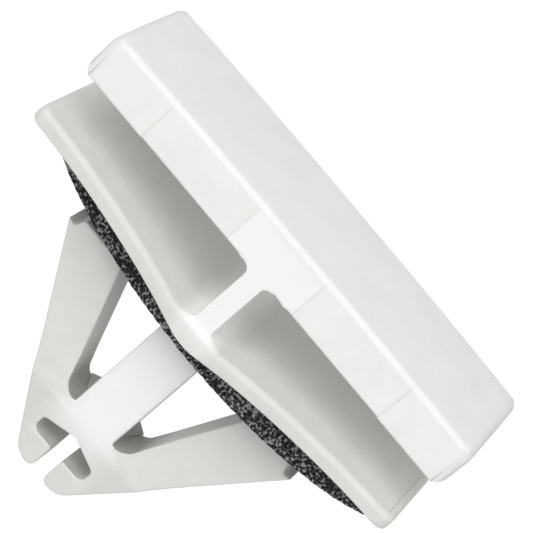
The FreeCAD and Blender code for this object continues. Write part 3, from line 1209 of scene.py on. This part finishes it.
    def dress_walls(self, made: bpy.types.Object, window: bpy.types.Material,
                    slot: bpy.types.Material) -> None:
        """Gives the walls of the windows and the slot darker finishes, as painted shade.

        Args:
            made: a finished piece.
            window: finish of the walls of the windows beside the post, with painted shade.
            slot: finish of the walls of the keyhole slot, with painted shade.
        """
        made.data.materials.append(window)
        made.data.materials.append(slot)
        for face in made.data.polygons:
            place, out = face.center * PER_MM, face.normal
            x = abs(place.x)
            if abs(out.y) > 0.6 or x > self.outer_x(place.z) - 0.5:
                continue
            if place.z > self.window_floor - 0.05 and x > self.post_half + 0.01:
                face.material_index = 1
            elif self.slot_floor - 0.1 < place.z < self.slot_roof:
                face.material_index = 2

    def build(self) -> None:
        """Makes the stem on the core and the four limbs."""
        # The window walls are darker copies of the nylon as painted shade, and darker still
        # towards the bottom as painted shade. The slot walls are a darker copy of the nylon as
        # painted shade.
        window = Nylon("window_nylon_painted_shade", polish_and_painted_light=(20.0, 30.0), low_fade=(-9.3, -5.5),
                       low_share=0.0, bright=(0.680, 0.680, 0.652),
                       plain=(0.350, 0.345, 0.330)).make()
        slot = Nylon("slot_nylon_painted_shade", plain=(0.520, 0.520, 0.495)).make()
        # The post's middle is paler as painted sheen, beside a real polish, and low_fade dims it
        # down the hub as painted shade.
        bright = Nylon("stem_nylon", polish_and_painted_light=(0.9, 3.4), level=0.10,
                       low_fade=(-11.0, -8.9)).make()
        stem = self.stem().piece("stem_and_hub", bright, Slot.NYLON)
        self.dress_walls(stem, window, slot)
        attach(stem, "core")
        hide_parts("post", "hub")
        for side in Side:
            # The corner webs take the window walls' painted shade.
            web = self.corner_web().flip(side).piece("stem_web_" + side.word, window, Slot.NYLON)
            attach(web, "core")
            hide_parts("post")
        plain = Nylon("limb_nylon", level=0.22).make()
        limbs = (("barb_arm", "arm_", self.arm, self.crease, 1.3),
                 ("tip_prong", "prong_", self.prong, self.prong_line, -0.8))
        for node, body, shaper, line, run in limbs:
            middle, up = self.upward(line)
            end = middle + up * run
            for side in Side:
                made = shaper().flip(side).piece(node + "_limb_" + side.word, plain,
                                                 Slot.NYLON)
                self.dress_walls(made, window, slot)
                blend_between(made, body + side.word)
                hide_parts(node + "_" + side.word)


@dataclass
class Studio:
    """Camera, lights and floor."""

    place: tuple = (4.019, -126.970, 67.207)
    target: tuple = (-0.315, 0.0, 5.4)
    roll: float = math.radians(49.99 - 0.926)
    lens: float = 169.2
    floor_z: float = -0.30
    world: float = 0.50
    floor_half: float = 4.0
    seen_white: float = 1.04
    lamps: tuple = (
        ("key", (-0.20, -0.58, 0.62), 0.6, 4.2),
        ("fill", (0.60, -0.50, 0.30), 0.6, 0.9),
        ("left_side", (-0.60, -0.12, -0.04), 0.4, 0.2),
        ("right_side", (0.60, -0.12, -0.04), 0.4, 0.2),
    )

    def camera(self) -> None:
        """Sets the camera at the viewing angle, rolled as the clip is held."""
        data = bpy.data.cameras.new("viewer")
        data.lens = self.lens
        data.sensor_width = 36.0
        data.clip_start, data.clip_end = 0.01, 10.0
        made = bpy.data.objects.new("viewer", data)
        bpy.context.scene.collection.objects.link(made)
        place = Vector(self.place) * MM
        look = (Vector(self.target) * MM - place).normalized()
        level = look.cross(Vector((0, 0, 1))).normalized()
        rise = level.cross(look)
        turn = self.roll
        right = level * math.cos(turn) + rise * math.sin(turn)
        up = rise * math.cos(turn) - level * math.sin(turn)
        basis = Matrix((right, up, -look)).transposed()
        made.matrix_world = Matrix.Translation(place) @ basis.to_4x4()
        bpy.context.scene.camera = made

    def lamp(self, name: str, place: tuple, size: float, power: float) -> None:
        """Adds a large soft light aimed at the clip.

        Args:
            name: name of the light.
            place: where it stands, in metres.
            size: side of its square, in metres.
            power: its power in watts.
        """
        data = bpy.data.lights.new(name, "AREA")
        data.size = size
        data.energy = power
        made = bpy.data.objects.new(name, data)
        made.location = place
        made.rotation_mode = "QUATERNION"
        made.rotation_quaternion = (-Vector(place)).to_track_quat("-Z", "Y")
        bpy.context.scene.collection.objects.link(made)

    def surroundings(self) -> None:
        """Lights the studio evenly and lays a pale floor far below the clip.

        Floor and surroundings look white where they are seen, and light the clip more softly.
        """
        world = bpy.data.worlds.new("studio")
        world.use_nodes = True
        tree = world.node_tree
        sky = tree.nodes["Background"]
        seen = tree.nodes.new("ShaderNodeBackground")
        for source, strength in ((sky, self.world), (seen, self.seen_white)):
            source.inputs["Color"].default_value = (1, 1, 1, 1)
            source.inputs["Strength"].default_value = strength
        path = tree.nodes.new("ShaderNodeLightPath")
        mixed = tree.nodes.new("ShaderNodeMixShader")
        tree.links.new(path.outputs["Is Camera Ray"], mixed.inputs[0])
        tree.links.new(sky.outputs[0], mixed.inputs[1])
        tree.links.new(seen.outputs[0], mixed.inputs[2])
        tree.links.new(mixed.outputs[0], tree.nodes["World Output"].inputs["Surface"])
        bpy.context.scene.world = world
        self.floor()

    def floor(self) -> None:
        """Adds a square of pale studio paper as the floor."""
        shape = bmesh.new()
        bmesh.ops.create_grid(shape, x_segments=1, y_segments=1, size=self.floor_half)
        bmesh.ops.translate(shape, vec=(0, 0, self.floor_z), verts=shape.verts[:])
        mesh = bpy.data.meshes.new("floor")
        shape.to_mesh(mesh)
        shape.free()
        paint = Shader("floor_paper")
        paper = paint.node("ShaderNodeBsdfPrincipled", None, {
            "Base Color": (0.8, 0.8, 0.8, 1), "Roughness": 0.9})
        white = paint.node("ShaderNodeEmission", None, {"Strength": self.seen_white})
        path = paint.node("ShaderNodeLightPath")
        mixed = paint.node("ShaderNodeMixShader", None, {
            0: path.outputs["Is Camera Ray"], 1: paper.outputs[0], 2: white.outputs[0]})
        paint.node("ShaderNodeOutputMaterial", None, {"Surface": mixed.outputs[0]})
        mesh.materials.append(paint.material)
        made = bpy.data.objects.new("floor", mesh)
        bpy.context.scene.collection.objects.link(made)

    def build(self) -> None:
        """Makes the camera, then the lights and the floor."""
        self.camera()
        self.surroundings()
        for name, place, size, power in self.lamps:
            self.lamp(name, place, size, power)
        bpy.context.scene.view_settings.view_transform = "Standard"


def main() -> None:
    """Builds the studio and every sub-assembly."""
    logging.basicConfig(level=logging.INFO, format="%(message)s")
    Studio().build()
    skirt = Skirt()
    for part in (Head(), skirt, Seal(skirt), Anchor()):
        LOG.info("building %s", type(part).__name__)
        part.build()


if __name__ == "__main__":
    main()
